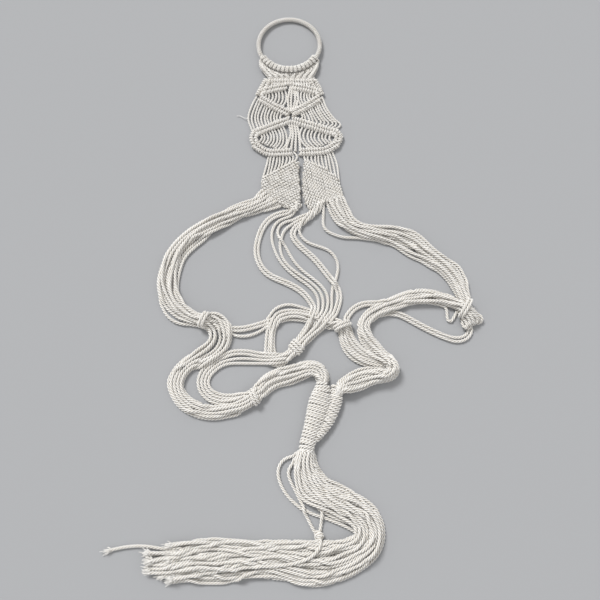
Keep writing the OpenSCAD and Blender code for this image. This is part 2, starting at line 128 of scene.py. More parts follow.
# ---------------------------------------------------------------- meshes
CREST = 1.12            # the crest of a ply stands this much outside the cord's radius
PROFILE = np.array([0.40, 0.82, 1.0, 0.82]) * CREST  # groove, shoulder, crest and shoulder of one ply
PLY_SHADE = np.array([0.0, 0.86, 1.0, 0.86])            # painted shade: how pale each of them is painted, darkest in the groove where shadow falls
FIBRE_SIDES = 8         # a single fibre is a plain round tube
FIBRE_SHADE = 0.85      # and painted with the same shade as the shoulder of a ply, all round


def tube(line, radius=R, step=0.8, pitch=10.0, phase=0.0, plies=3, taper=0.0):
    """Vertices, faces, end caps, UVs and painted groove shade of a twisted cord along a line.

    The radius may be one number or one for each point."""
    p = np.asarray(line, float)
    r = np.broadcast_to(np.asarray(radius, float), (len(p),))
    q = resample(np.column_stack([p, r]), step)
    p, r = q[:, :3], q[:, 3]
    t = headings(p)
    v = np.array([0.0, 0.0, 1.0]) if abs(t[0][2]) < 0.9 else np.array([1.0, 0.0, 0.0])
    up = np.empty_like(p)
    for i in range(len(p)):
        v = v - t[i] * (v @ t[i])
        v = v / math.sqrt(v @ v)
        up[i] = v
    side = np.cross(t, up)
    s = along(p)
    if plies > 1:
        prof, painted_shade = np.tile(PROFILE, plies), np.tile(PLY_SHADE, plies)
    else:
        prof, painted_shade = np.ones(FIBRE_SIDES), np.full(FIBRE_SIDES, FIBRE_SHADE)
    sides = len(prof)
    if taper:
        r = r * np.clip(np.minimum(s, s[-1] - s) / taper + 0.25, 0.25, 1)
    ang = (2 * np.pi * np.arange(sides) / sides)[None, :] + (2 * np.pi * s / pitch + phase)[:, None]
    rad = r[:, None] * prof[None, :]
    across = side[:, None] * (rad * np.cos(ang))[..., None]
    above = up[:, None] * (rad * np.sin(ang))[..., None]
    verts = p[:, None] + across + above
    n = len(p)
    i, k = np.meshgrid(np.arange(n - 1), np.arange(sides), indexing="ij")
    a, b = i * sides + k, i * sides + (k + 1) % sides
    quads = np.stack([a, b, b + sides, a + sides], -1).reshape(-1, 4)
    caps = [list(range(sides))[::-1], [(n - 1) * sides + k for k in range(sides)]]
    uv = np.stack([np.repeat(s / 10, sides), np.tile(np.arange(sides) / sides, n)], 1)
    return verts.reshape(-1, 3), quads, caps, uv, np.tile(painted_shade, n)


def piece(name, lines, body=None, nodes=(), **how):
    """One object made of cords along the given lines. A line may be a pair with its own options for tube."""
    verts, faces, uvs, lights, base = [], [], [], [], 0
    for n, line in enumerate(lines):
        options = dict(how)
        if isinstance(line, tuple):
            line, own = line
            options.update(own)
        options.setdefault("phase", n * 1.7)
        v, q, caps, uv, light = tube(line, **options)
        verts.append(v)
        uvs.append(uv)
        lights.append(light)
        faces += (q + base).tolist() + [[k + base for k in c] for c in caps]
        base += len(v)
    me = bpy.data.meshes.new(name)
    me.from_pydata((np.vstack(verts) * MM).tolist(), [], faces)
    me.shade_smooth()
    uv = np.vstack(uvs)
    loops = np.empty(len(me.loops), dtype=np.int32)
    me.loops.foreach_get("vertex_index", loops)
    layer = me.uv_layers.new(name="along")
    layer.data.foreach_set("uv", uv[loops].astype(np.float32).ravel())
    light = np.concatenate(lights)
    # Painted shade: the groove attribute darkens the grooves between plies, where shadow falls, as a grey
    # colour attribute.
    tone = me.color_attributes.new("groove", "FLOAT_COLOR", "POINT")
    painted_shade_grey = np.column_stack([light, light, light, np.ones_like(light)])
    tone.data.foreach_set("color", painted_shade_grey.astype(np.float32).ravel())
    me.materials.append(COTTON)
    obj = bpy.data.objects.new(name, me)
    bpy.context.scene.collection.objects.link(obj)
    if body:
        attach(obj, body)
    if nodes:
        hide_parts(*nodes)
    return obj


# ---------------------------------------------------------------- materials
def shader(name, colour, rough):
    """A plain material, its node tree and its Principled shader."""
    m = bpy.data.materials.new(name)
    m.use_nodes = True
    b = m.node_tree.nodes["Principled BSDF"]
    b.inputs["Base Color"].default_value = (*colour, 1)
    b.inputs["Roughness"].default_value = rough
    return m, m.node_tree, b


def cotton():
    """Undyed cotton: painted shade darkens the grooves between plies, slightly uneven in tone, with a fine
    fibre.
    """
    m, tree, b = shader("cotton", (0.80, 0.77, 0.72), 0.92)
    b.inputs["Sheen Weight"].default_value = 0.15
    b.inputs["Sheen Roughness"].default_value = 0.5
    b.inputs["Specular IOR Level"].default_value = 0.25
    new, link = tree.nodes.new, tree.links.new
    place = new("ShaderNodeTexCoord")
    tone = new("ShaderNodeTexNoise")
    tone.inputs["Scale"].default_value = 140
    tone.inputs["Detail"].default_value = 3
    link(place.outputs["Object"], tone.inputs["Vector"])
    ramp = new("ShaderNodeValToRGB")
    warm, pale = ramp.color_ramp.elements
    warm.position = 0.3
    warm.color = (0.87, 0.85, 0.81, 1)
    pale.position = 0.7
    pale.color = (0.95, 0.94, 0.92, 1)
    link(tone.outputs["Fac"], ramp.inputs["Fac"])
    # Painted shade: the groove attribute mixes the cotton towards a warm dark brown in the grooves between
    # plies, where shadow falls.
    groove = new("ShaderNodeAttribute")
    groove.attribute_name = "groove"
    painted_shade_mix = new("ShaderNodeMix")
    painted_shade_mix.data_type = "RGBA"
    # Colour of the painted shadow in the grooves.
    painted_shade_mix.inputs["A"].default_value = (0.42, 0.37, 0.30, 1)
    link(groove.outputs["Fac"], painted_shade_mix.inputs["Factor"])
    link(ramp.outputs["Color"], painted_shade_mix.inputs["B"])
    link(painted_shade_mix.outputs["Result"], b.inputs["Base Color"])
    fibre = new("ShaderNodeTexNoise")
    fibre.inputs["Scale"].default_value = 2600
    fibre.inputs["Detail"].default_value = 2
    link(place.outputs["Object"], fibre.inputs["Vector"])
    bump = new("ShaderNodeBump")
    bump.inputs["Strength"].default_value = 0.35
    bump.inputs["Distance"].default_value = 0.0003
    link(fibre.outputs["Fac"], bump.inputs["Height"])
    link(bump.outputs["Normal"], b.inputs["Normal"])
    return m


COTTON = cotton()
STEEL, _, steel_shader = shader("hoop_steel", (0.6, 0.6, 0.62), 0.3)
steel_shader.inputs["Metallic"].default_value = 1

# ---------------------------------------------------------------- routes
# Rows are x, y and the width of the bundle, or x and y for a single cord. They follow the CAD solids.
ARM_LEFT = [
    (-52, 73, 15), (-70, 67, 15), (-88, 58, 15), (-106, 48, 16), (-121, 37, 17), (-133, 23, 18),
    (-141, 8, 19), (-145, -9, 20), (-143, -24, 19), (-135, -38, 17), (-123, -48, 14),
    (-113, -53.5, 11),
]
LOOP_OUTER = [
    (-95, -59, 12), (-88.5, -63, 14), (-87, -70, 15), (-92, -80, 14), (-104, -90, 13),
    (-117, -99, 13), (-127, -109, 13), (-131, -121, 13), (-127, -133, 13), (-117, -143, 13),
    (-102, -149, 12), (-86, -150, 12), (-71, -147, 11), (-60, -142.5, 9),
]
LOOP_INNER = [
    (-20, -95, 8), (-29, -96, 10), (-38, -95.5, 12), (-50, -94, 15), (-65, -92.5, 17),
    (-79, -94, 15), (-91, -99.5, 13), (-100, -108, 12), (-104, -118, 12), (-101, -128, 11),
    (-91, -135.5, 10), (-78, -138, 10), (-66, -136, 9), (-58, -134, 7),
]
# The strands below the left knot, each with how many cords it has, from west to east.
SPLIT = [
    (2, [(-101, -62, 4), (-97, -69, 4), (-95.5, -74, 4), (-99, -81, 4), (-108, -88, 5)]),
    (2, [(-99, -59, 4), (-93.5, -63.5, 4), (-90.8, -70, 4), (-92.5, -78, 4), (-101, -88, 5)]),
    (1, [(-98, -55.5, 4), (-90.5, -58.5, 4), (-86, -64, 4), (-85.3, -72, 4), (-88, -80.5, 4),
         (-98, -91, 4)]),
    (2, [(-98, -52, 4), (-90, -54, 4), (-83.3, -59.5, 4), (-80, -67, 4), (-80.7, -77, 4), (-86, -86, 4),
         (-98, -95, 4)]),
    (2, [(-98, -49, 4), (-90, -49.8, 4), (-81.5, -55, 4), (-76, -65, 4), (-75.8, -77, 4), (-81, -88, 4),
         (-95, -98, 4)]),
]
TIE = [(-92, -59, 8), (-80, -65.5, 10), (-66, -67.5, 12), (-54, -65.5, 12), (-44.5, -61.5, 10)]
LEAD_LEFT = [
    (-43, -127, 12), (-38, -120, 13), (-28, -115, 14), (-15, -111, 14), (-3, -107.5, 13),
    (7, -104.5, 12), (14, -106, 11), (18, -112, 11),
]
MIDDLE_1 = [
    (-17, 65.5, 5), (-28, 63.5, 6), (-39, 57, 6.4), (-46, 46, 6.4), (-50, 32, 6.4), (-51, 20, 6.4),
    (-48, 8, 6.4), (-41, -3, 6.4), (-30, -9.5, 6.4), (-17, -15, 6.4), (-6, -21, 6.4), (3, -29, 6),
    (8, -37.5, 6),
]
MIDDLE_2 = [
    (-14, 60.5), (-22, 59), (-30, 54), (-34.5, 45), (-34.5, 33), (-31, 21), (-26, 10), (-18, 0),
    (-8, -8.5), (3, -16), (11, -23.5), (15, -32), (15.5, -39),
]
MIDDLE_3 = [
    (-13, 55.5), (-20, 55), (-27, 50), (-29.5, 42), (-26, 34), (-20.5, 27), (-15, 16), (-8, 6),
    (1, -3), (12, -12), (21.5, -22), (25, -31), (25, -38),
]
MIDDLE_4 = [
    (-13, 51.5), (-19, 48), (-23.5, 41), (-25.5, 33), (-26, 24), (-23.5, 14), (-19, 6.5),
    (-11.5, -0.5), (-2, -7.5), (8, -14.5), (16, -22.5), (19.8, -31), (20, -38.5),
]
MIDDLE_5 = [
    (-11, 46.5, 5), (-13.5, 41, 6), (-10, 33, 6.4), (-3, 25, 6.4), (5, 18, 6.4), (13, 10, 6.4),
    (20, 1, 6.2), (27, -8, 5.6), (33.3, -17, 5.6), (37.3, -27, 6.4), (35.5, -37, 6),
]
MIDDLE_6 = [
    (-5, 51.5), (-6.5, 44), (-3, 36.5), (5, 30), (15, 27), (25.5, 23), (33, 15), (36, 4),
    (34.5, -6), (31, -15), (29, -25), (28.6, -32), (29, -38),
]
MIDDLE_BUNDLE = [
    (20.5, -44, 31), (16, -53, 25), (10, -62, 19), (4, -69, 14), (-8, -84, 9), (-15, -92, 8),
]
UPRIGHT = [
    (-22, -98, 8), (-30, -99, 9), (-35.5, -95, 9.5), (-36, -87.5, 10), (-35.5, -76, 10),
    (-35, -66, 10), (-33, -56, 12), (-28, -48.5, 16), (-18, -44.5, 17), (-5, -45.5, 14),
    (7, -49.5, 11), (19, -53.5, 10), (28.5, -58, 9),
]
ARCS = [
    (-36, -59, 8), (-30, -55, 9), (-20, -51, 10), (-8, -50.5, 9), (5, -52.5, 8), (18, -55.5, 8),
    (28.5, -59, 8),
]
ARM_RIGHT = [
    (35.5, 74, 19), (39, 63, 17), (44.5, 53.5, 15), (54, 46.5, 15), (68, 41.5, 15), (82, 39.5, 15),
    (96, 38, 16), (109, 33, 18), (121, 25.5, 18), (133, 16.5, 16), (144, 7, 15), (154, -4, 14),
    (161, -15, 14), (165, -26, 13), (167, -36, 11),
]
SLACK = [(19, 75), (20.5, 68), (20.5, 59), (20, 51), (23, 45), (31, 41), (41, 37), (53, 36)]
# The small kink beside the right fold, as x, y, z.
KINK = [
    (158, -45, R), (154, -52, R), (152, -57.5, R), (148.5, -56.5, R), (148.5, -50, R),
    (149, -41, R + 1),
]
RETURN = [
    (155, -37.5, 11), (146, -34, 12), (134, -31, 14), (121, -30.5, 15), (109, -32, 14),
    (98, -36.5, 13), (87, -41, 12),
]
RETURN_END = [
    (76, -46, 11), (66, -52, 9.5), (60.5, -61, 9), (62.5, -71, 9), (69, -80.5, 11), (75.5, -88, 11),
    (82, -95.5, 9),
]
BRANCH = [(76, -37.5, 7), (67, -36, 7), (57, -38.5, 7), (49, -44, 7), (45.5, -50, 6.4)]
LOOP_RIGHT = [
    (172, -66, 5), (169.5, -71, 6), (163.5, -74.5, 6), (156, -75.5, 6.4), (148, -73.5, 6.4),
    (140, -70.5, 6.4), (130, -66, 6.4), (118, -59, 6.4), (108, -52.5, 6.4), (99, -47.5, 6),
    (90, -46, 6),
]
KNOT_CR = [(39, -58.5, 9), (42, -64, 9)]
KNOT_L = [(-106, -56, 9), (-101, -57.5, 9)]
KNOT_LL = [(-53, -137, 9), (-48.5, -133, 9)]
LOWER_IN = [
    (42.5, -72, 14), (46, -80, 18), (52.5, -88, 18), (63, -94.3, 16), (73, -97.8, 12),
    (81.5, -98.8, 9),
]
BEND = [(88.3, -100.8, 9), (91.8, -106, 9), (88.3, -111, 9)]
LOWER_OUT = [
    (81, -112.6, 11), (70, -113, 18), (60, -115.5, 22), (50, -119.5, 21), (42, -122.5, 15),
    (36.5, -126.5, 11),
]
# Rows of the gather are x, y, width and height.
GATHER_FRONT = [
    (18.5, -121, 12, 11), (17.5, -131, 19, 12), (14.5, -142, 22, 12), (12, -152, 21, 12),
    (8.5, -163, 18, 12), (5.3, -172, 16, 11.8), (3, -180, 15.5, 11.6),
]
GATHER_SIDE = [
    (32.5, -124, 12, 9.6), (32, -134, 14.5, 9.6), (28.5, -146, 14.5, 9.6), (24, -157, 13, 9.6),
    (18, -167, 11, 9.6), (10, -177, 8, 9.6),
]
TASSEL = [
    (2, -188, 12), (0.5, -196, 14), (2, -207, 18), (11, -221, 23), (26, -232, 27), (44, -240, 27),
    (58, -250, 25), (63, -262, 24), (59.5, -275, 24), (45, -284, 27), (26, -289, 32), (2, -291, 36),
    (-25, -288.5, 31), (-50, -288, 32), (-75, -290, 36), (-100, -290, 36), (-126, -292, 34),
    (-137, -293, 34), (-147, -293, 34),
]


def lane(route, f0, z=0.0, f1=None, who=None, stray=0.45):
    """The line of one cord in a bundle: f runs from -1 at the right of the route to 1 at its left.

    A cord with a number, who, strays slowly from side to side among its neighbours."""
    p = np.array([(*row, 2 * R)[:3] for row in route], float)
    f = np.linspace(f0, f0 if f1 is None else f1, len(p))
    if who is not None:
        g = np.random.default_rng(900 + who)
        turn, wave, at = g.uniform(0, 2 * math.pi), g.uniform(15, 25), g.uniform(0, 2 * math.pi)
        way = p[:, 0] * math.cos(turn) + p[:, 1] * math.sin(turn)
        f = np.clip(f + stray * np.sin(way / wave + at), -1.05, 1.05)
    flat = np.column_stack([p[:, 0], p[:, 1], np.zeros(len(p))])
    n = sideways(flat)
    out = flat.copy()
    out[:, :2] += n * (f * np.maximum(p[:, 2] / 2 - R, 0))[:, None]
    out[:, 2] = R + z
    return out


def bulge(line, at, by, wide):
    """Moves the points of a line aside round a place, so that it stands apart from its bundle there."""
    away = np.hypot(line[:, 0] - at[0], line[:, 1] - at[1])
    line[:, :2] += np.outer(np.exp(-(away / wide) ** 2), by)


def spread(n, k, rise=0.55):
    """Place of cord k of n in a bundle: how far to one side, and its height."""
    return 2 * k / (n - 1) - 1, (5 * k % n) * rise


WINDING_W = 4.4         # how far inside the column's sides its outermost cords run
WINDING_H = 4.6         # and how far inside its top and bottom


def gathered(route, a, b):
    """A cord inside the gathered column, at a across it and b up it, each from -1 to 1."""
    p = np.array(route, float)
    n = sideways(np.column_stack([p[:, :2], p[:, 2] * 0]))
    out = np.column_stack([p[:, 0], p[:, 1], p[:, 3] / 2 + b * (p[:, 3] / 2 - WINDING_H)])
    out[:, :2] += n * (a * (p[:, 2] / 2 - WINDING_W))[:, None]
    return out


TASSEL_RISE = 8         # from the lowest layer of cords in the tassel to the highest


def tail(a, b, rows, seed):
    """A cord in the tassel, drifting slowly from side to side, cut off after its own number of rows.

    It starts at a across the bundle, from -1 to 1, and lies in layer b: -1, 0 or 1."""
    g = np.random.default_rng(seed)
    p = np.array(TASSEL, float)[:rows]
    s = along(np.column_stack([p[:, :2], p[:, 0] * 0]))
    f = a + 0.34 * np.sin(s / g.uniform(18, 36) + g.uniform(0, 6)) * np.clip((s - 20) / 40, 0, 1)
    west = max(0.0, -a - 0.35) / 0.65 * (1 + 4.5 * (b + 1)) * np.exp(-((s - 34) / 15) ** 2)
    f = np.clip(f, -1.08, 1.08)
    n = sideways(np.column_stack([p[:, :2], p[:, 0] * 0]))
    out = np.column_stack([p[:, 0], p[:, 1], R + (b + 1) / 2 * TASSEL_RISE + p[:, 0] * 0])
    out[:, :2] += n * (f * (p[:, 2] / 2 - R) - west)[:, None]
    out[-1, 0] += g.uniform(-3, 3)
    return out


# The 32 cord ends, each one a line from its panel to its cut end.
strands = []


def add(name, *parts):
    """Joins the stretches of one cord."""
    strands.append((name, np.vstack(parts)))


# Places of the cords in the round section of the gather, spread evenly by the golden angle.
GOLDEN = 2.4
disc = []
for k in range(CORD_ENDS):
    out = math.sqrt((k + 0.5) / CORD_ENDS)
    disc.append((out * math.cos(GOLDEN * k), out * math.sin(GOLDEN * k)))
order = list(rng.permutation(TASSEL_CORDS))


def finish_chain(k, side):
    """Gather, neck and tassel of cord k."""
    a, b = disc[k]
    column = gathered(GATHER_SIDE[1:] if side else GATHER_FRONT, a, b)
    if k in SPECIAL:
        return [column, SPECIAL[k]]
    j = order[k - len([s for s in SPECIAL if s < k])]
    fa = (j % 10) / 4.5 - 1
    layer = j // 10 - 1
    if -0.55 < fa < 0.25:
        rows = 19
    elif 0.25 <= fa < 0.55:
        rows = 18
    else:
        rows = 17
    return [column, tail(fa, layer, rows, 100 + k)]


# The strands that stand apart in the upper tassel, with x, y, z for each point, and then lie in it.
TASSEL_1 = np.vstack([
    [(-2, -188, 5), (-7, -192, 3), (-16, -193, 2), (-23, -198, 1.7), (-26, -208, 1.7), (-23, -220, 1.7),
     (-17, -231, 1.7), (-7, -240, 1.7), (5, -246, 1.7), (20, -250, 1.7), (35, -256.5, 1.7),
     (45, -262, 1.7), (56, -267, 1.7), (64, -269.5, 1.7), (68, -276, 1.7), (64, -283, 1.7),
     (54, -287, 1.7)],
    lane(TASSEL[10:18], 0.0)])
TASSEL_2 = np.vstack([
    [(-3, -190, 5), (-8, -198, 3), (-14, -202, 1.7), (-16.5, -208, 1.7), (-13, -217, 1.7),
     (-8, -227, 2.6), (-4.5, -235, 5), (-1.5, -243, 5.4), (3, -252, 2.6), (8.5, -261, 2),
     (13, -267.5, 3), (16.5, -272, 6), (14.5, -277, 12.5), (8, -284, 14.5), (-4, -289, 14.5)],
    lane(TASSEL[12:19], 0.35, 9)])
TASSEL_3 = np.vstack([
    [(3, -190, 3), (6, -205, 1.8), (12, -222, 1.8), (15, -236, 2.6), (16.5, -244, 5), (16.5, -250, 5.4),
     (15.5, -256, 3.6), (14.5, -262, 3), (14, -268, 5), (12, -274, 3), (12, -283, 1.7), (7, -291, 1.7),
     (-5, -296, 1.7)],
    lane(TASSEL[12:18], 0.7)])
# The cord whose end lies beyond the others.
LONE = np.vstack([
    lane(TASSEL[:16], 0.75, 1.0),
    [(-114, -280.5, 3), (-127, -281, 3), (-137, -279, 3), (-146, -276.5, 1.8), (-158, -275, 1.7),
     (-170, -276.5, 1.7), (-178, -278.8, 1.8), (-186, -281, 1.8)]])
SPECIAL = {3: TASSEL_1, 7: TASSEL_2, 24: TASSEL_3, 30: LONE}


def inside_left(t):
    """Where a cord leaves the foot of the left panel, from its outer corner at 0 to its inner one at 1."""
    return np.array([[-38 + 16 * t, 98 - 20 * t, R + 1.5], [-45 + 19 * t, 91 - 17 * t, R + 1.5]])


def inside_right(t):
    """Where a cord leaves the foot of the right panel, from its inner corner at 0 to its outer one at 1."""
    return np.array([[17 + 20 * t, 85 + 8 * t, R + 1.5], [23 + 18 * t, 78 + 8 * t, R + 1.5]])


# The places across the lower stretch, for its cords in the order in which they come.
lower_places = iter(range(LOWER_CORDS))


def hook(t, z):
    """The turn of one cord in the right fold: under the band, back over itself, and into the band.

    Its place along the fold is t, from 0 to 1."""
    into, out = np.array([168 + 3 * t, -47]), np.array([163.5, -42.5 + 3 * t])
    end = np.array([166 + 19.5 * t, -66.5 + 11 * t])
    d = (end - into) / np.linalg.norm(end - into)
    n = np.array([d[1], -d[0]])
    wide = 2.5 + 1.7 * t
    rows = [
        (into, R),
        (into + 0.5 * (end - into) + n * wide, R),
        (end - d * 5 + n * wide * 1.15, R),
        (end - d * 1.4 + n * wide * 0.7, R + 1),
        (end - d * 1.4 - n * wide * 0.7, R + 4),
        (end - d * 5 - n * wide * 1.15, R + 5.5),
        (out + 0.35 * (end - out), R + 6.5),
        (out, R + 6),
    ]
    return np.array([(*xy, height + z * 0.5) for xy, height in rows])


def lower(n):
    """The stretch from the knot at the centre right to the bend, for the next of its cords."""
    f, rise = spread(LOWER_CORDS, next(lower_places))
    return [lane(KNOT_CR, f * 0.8, 3), lane(LOWER_IN, f, rise, who=n, stray=0.2)]


def bend(n, f):
    """Round the bend and back to the gather."""
    level = 7 * n % 20
    return [lane(BEND, f * 0.3, 4 + level * 0.3), lane(LOWER_OUT, f, 8 + level * 0.32, who=n, stray=0.35)]


# Cords of the left arm that cross to the right under the left knot, with their places in the tie.
TIED = {2: -1, 6: 0.3, 9: 1}
looped = [k for k in range(ARM_CORDS) if k not in TIED]
split_places = [(route, m) for count, route in SPLIT for m in range(count)]

for k in range(ARM_CORDS):
    name = f"cord_left_{k + 1}"
    f, z = spread(ARM_CORDS, k)
    start = inside_left(k / (ARM_CORDS - 1))
    arm = [start, lane(ARM_LEFT, f, z, who=k, stray=0.3), lane(KNOT_L, f, z + 2.6)]
    if k == 0:
        bulge(arm[1], (-134, -49), (-4, -7), 20)
    if k > 9:
        bulge(arm[1], (-115, 36), (3.5, -3.5), 16)
    if k > 8:
        bulge(arm[1], (-128, -4), (3, 0), 18)
    if k in TIED:
        g = TIED[k]
        add(name, *arm, lane(TIE, g), lane(ARCS, g), *lower(k), *bend(k, g * 0.8), *finish_chain(k, True))
        continue
    j = looped.index(k)
    g, gz = spread(len(looped), j)
    route, m = split_places[j]
    split = lane(route, 2 * m - 1, 2.8 + 3.2 * m, 1 - 2 * m)
    loop = lane(LOOP_OUTER[5:], g, gz, who=k)
    lead = lane(LEAD_LEFT, g, gz, who=k)
    if k == 0:
        bulge(loop, (-132, -120), (-3.5, 0.5), 11)
        bulge(lead, (-14, -117), (0.5, -4), 11)
    add(name, *arm, split, loop, lane(KNOT_LL, g * 0.8, gz + 2.6), lead, *finish_chain(k, False))

# The middle cords: route, place across it, place in the bundle below, and 1 for one that crosses over.
MIDDLE = [
    (MIDDLE_1, -0.9, -0.95, 0), (MIDDLE_1, 0.9, -0.7, 0),
    (MIDDLE_2, 0, -0.45, 0), (MIDDLE_3, 0, 0.2, 1),
    (MIDDLE_4, 0, -0.1, 0), (MIDDLE_5, -0.9, 0.75, 1),
    (MIDDLE_5, 0.9, 0.95, 1), (MIDDLE_6, 0, 0.5, 0),
]
for k, (route, f, place, over) in enumerate(MIDDLE):
    n = ARM_CORDS + k
    if k < 3:
        start = np.array([[-5 - k, 76, R + 1.5], [-9 - k, 70 - 1.5 * k, R + 1.5]])
    else:
        m = k - 3
        start = np.array([
            [20 - 1.8 * m, 79, R + 1.5],
            [17.5 - 1.6 * m, 71, R + 1.5],
            [11 - m, 65 - m, R + 1],
            [3 - 0.9 * m, 60.5 - 1.3 * m, R]])
    line = lane(route, f)
    crossing = 4 if route is MIDDLE_3 else 7
    line[:, 2] += over * 1.2 * np.exp(-((np.arange(len(line)) - crossing) / 1.6) ** 2)
    line[-2:, 2] += 3
    level = 2.8 * (k % 2)
    bundle = lane(MIDDLE_BUNDLE, place, 4.5 + level)
    bundle[-2:, 2] = R + 2.6 + level
    if k % 2:
        g = (k - 4) / 3
        rest = [lane(LOOP_INNER, g, 3, who=n, stray=0.3), lane(KNOT_LL, g * 0.8, 6)]
        rest += [lane(LEAD_LEFT, g, 5, who=n), *finish_chain(n, False)]
    else:
        g = [1, 0.05, -0.45, -1][k // 2]
        upright = lane(UPRIGHT, g, 2.9 if k == 4 else 0)
        upright[7:, 2] += 2.4
        rest = [upright, *lower(n), *bend(n, g), *finish_chain(n, True)]
    add(f"cord_middle_{k + 1}", start, line, bundle, *rest)

for k in range(ARM_CORDS):
    n = CORD_ENDS - ARM_CORDS + k
    f, z = spread(ARM_CORDS, k)
    t = (k + 0.5) / ARM_CORDS
    start = inside_right(t)
    arm = lane(ARM_RIGHT, f, z, who=n, stray=0.22)
    if k > 9:
        bulge(arm, (159, -3), (5, 4.5), 13)
        bulge(arm, (45, 63), (4, 2.5), 9)
        bulge(arm, (95, 47), (0, 3.5), 13)
    if k > 6:
        bulge(arm, (116, 33), (2.5, 4.5), 16)
    if k < 3:
        bulge(arm, (114, 20), (-2.5, -5), 22)
    if k == 0:
        arm = np.vstack([lane(SLACK, 0), arm[5:]])
        start = np.array([[17, 84, R + 1.5]])
    if k in (3, 8):
        g = -1 if k == 3 else 1
        turn = np.array([(167, -46, R), (167.5, -53, R), (170, -60, R)])
        back = [turn, lane(LOOP_RIGHT, g * 0.9), lane(RETURN_END, g)]
    elif k in (5, 10):
        g = -1 if k == 5 else 1
        back = [hook(1 - t, z), lane(RETURN, g * 0.4 - 0.5, z + 2.8, who=n), lane(BRANCH, g * 0.9), *lower(n)]
    else:
        back = [hook(1 - t, z), lane(RETURN, f, z, who=n), lane(RETURN_END, f, z, who=n)]
        if k == 11:
            back[1] = np.vstack([KINK, back[1][1:]])
    add(f"cord_right_{k + 1}", start, arm, *back, *bend(n, f), *finish_chain(n, True))


# ---------------------------------------------------------------- settling
# The cords rise off the table where a knot passes under them.
KNOTS = [(-104, -56.5), (-51, -134.5), (-8, -84), (40.5, -61), (170, -46)]
SINK = 0.12             # how far a cord sinks in each round
HOLD = 0.10             # how much of its way back to its route it goes in each round
HOLD_UP = 0.12          # how much weaker that is in height
PUSH = 0.42             # how much of an overlap each of two cords gives way in each pass


def settle(lines, loose, rounds=90, step=2.0):
    """Lets the cords come apart where they cross, and sink onto the table and each other."""
    rows = [resample(smooth(p, 6), step) for p in lines]
    for r in rows:
        for _ in range(10):
            r[1:-1] += 0.5 * ((r[:-2] + r[2:]) / 2 - r[1:-1])
    which = np.concatenate([[i] * len(r) for i, r in enumerate(rows)])
    ends = np.cumsum([len(r) for r in rows])
    starts = np.concatenate([[0], ends[:-1]])
    p = np.vstack(rows)
    for i, r in enumerate(rows):
        g = np.random.default_rng(500 + i)
        s = along(r)
        drift = g.uniform(0.4, 1.1) * np.sin(s / g.uniform(9, 16) + g.uniform(0, 6))
        p[starts[i]:ends[i], :2] += sideways(r) * (drift * loose[i])[:, None]
    home = p.copy()
    inner = np.ones(len(p), bool)
    inner[ends - 1] = False
    inner[starts] = False
    x, y = home[:, 0], home[:, 1]
    in_gather = (y < -121) & (y > -189) & (x > -2) & (x < 42) & (y < -121 - 0.2 * (x - 20))
    in_panels = (y > 78) & (np.abs(x) < 40)
    hidden = in_gather | in_panels
    floor = np.full(len(p), R * CREST)
    for knot_x, knot_y in KNOTS:
        floor += 2.4 * np.exp(-(np.hypot(x - knot_x, y - knot_y) / 5.5) ** 4)
    hold = np.where(hidden, 1.0, HOLD)
    hold_by_axis = np.where(hidden[:, None], 1, np.array([1, 1, HOLD_UP]))
    mid = np.arange(len(p))[inner]
    for turn in range(rounds):
        if turn % 4 == 0:
            tree = KDTree(len(p))
            for i, q in enumerate(p.tolist()):
                tree.insert(q, i)
            tree.balance()
            found = []
            for i, q in enumerate(p.tolist()):
                if hidden[i]:
                    continue
                found += [(i, j) for _, j, _ in tree.find_range(q, 2 * R + 1.2) if j > i]
            pairs = np.array(found)
            far = (which[pairs[:, 0]] != which[pairs[:, 1]]) | (pairs[:, 1] - pairs[:, 0] > 5)
            pairs = pairs[far & ~hidden[pairs[:, 1]]]
        p[:, 2] -= SINK * ~hidden
        p += (home - p) * hold[:, None] * hold_by_axis
        shift = p - home
        lap = np.zeros_like(p)
        lap[mid] = (shift[mid - 1] + shift[mid + 1]) / 2 - shift[mid]
        bend = np.zeros_like(p)
        bend[mid] = (p[mid - 1] + p[mid + 1]) / 2 - p[mid]
        p[:, :2] += 0.35 * lap[:, :2]
        p[:, 2] += 0.4 * bend[:, 2]
        p[:, :2] += (0.16 * bend[:, :2]) * ~hidden[:, None]
        for _ in range(2):
            i, j = pairs[:, 0], pairs[:, 1]
            d = p[j] - p[i]
            dist = np.linalg.norm(d, axis=1)
            gap = 2 * R * CREST - dist
            hit = gap > 0
            push = d[hit] / np.maximum(dist[hit], 1e-6)[:, None] * (gap[hit] * PUSH)[:, None]
            move = np.zeros_like(p)
            count = np.ones(len(p))
            np.add.at(move, j[hit], push)
            np.add.at(move, i[hit], -push)
            np.add.at(count, j[hit], 0.35)
            np.add.at(count, i[hit], 0.35)
            move[hidden] = 0
            p += move / count[:, None]
            p[:, 2] = np.where(hidden, p[:, 2], np.maximum(p[:, 2], floor))
    return [smooth(line, 3) for line in np.split(p, ends[:-1])]


looseness = [0.3 if "middle" in name else 1.0 for name, _ in strands]
settled = settle([line for _, line in strands], looseness, rounds=90)

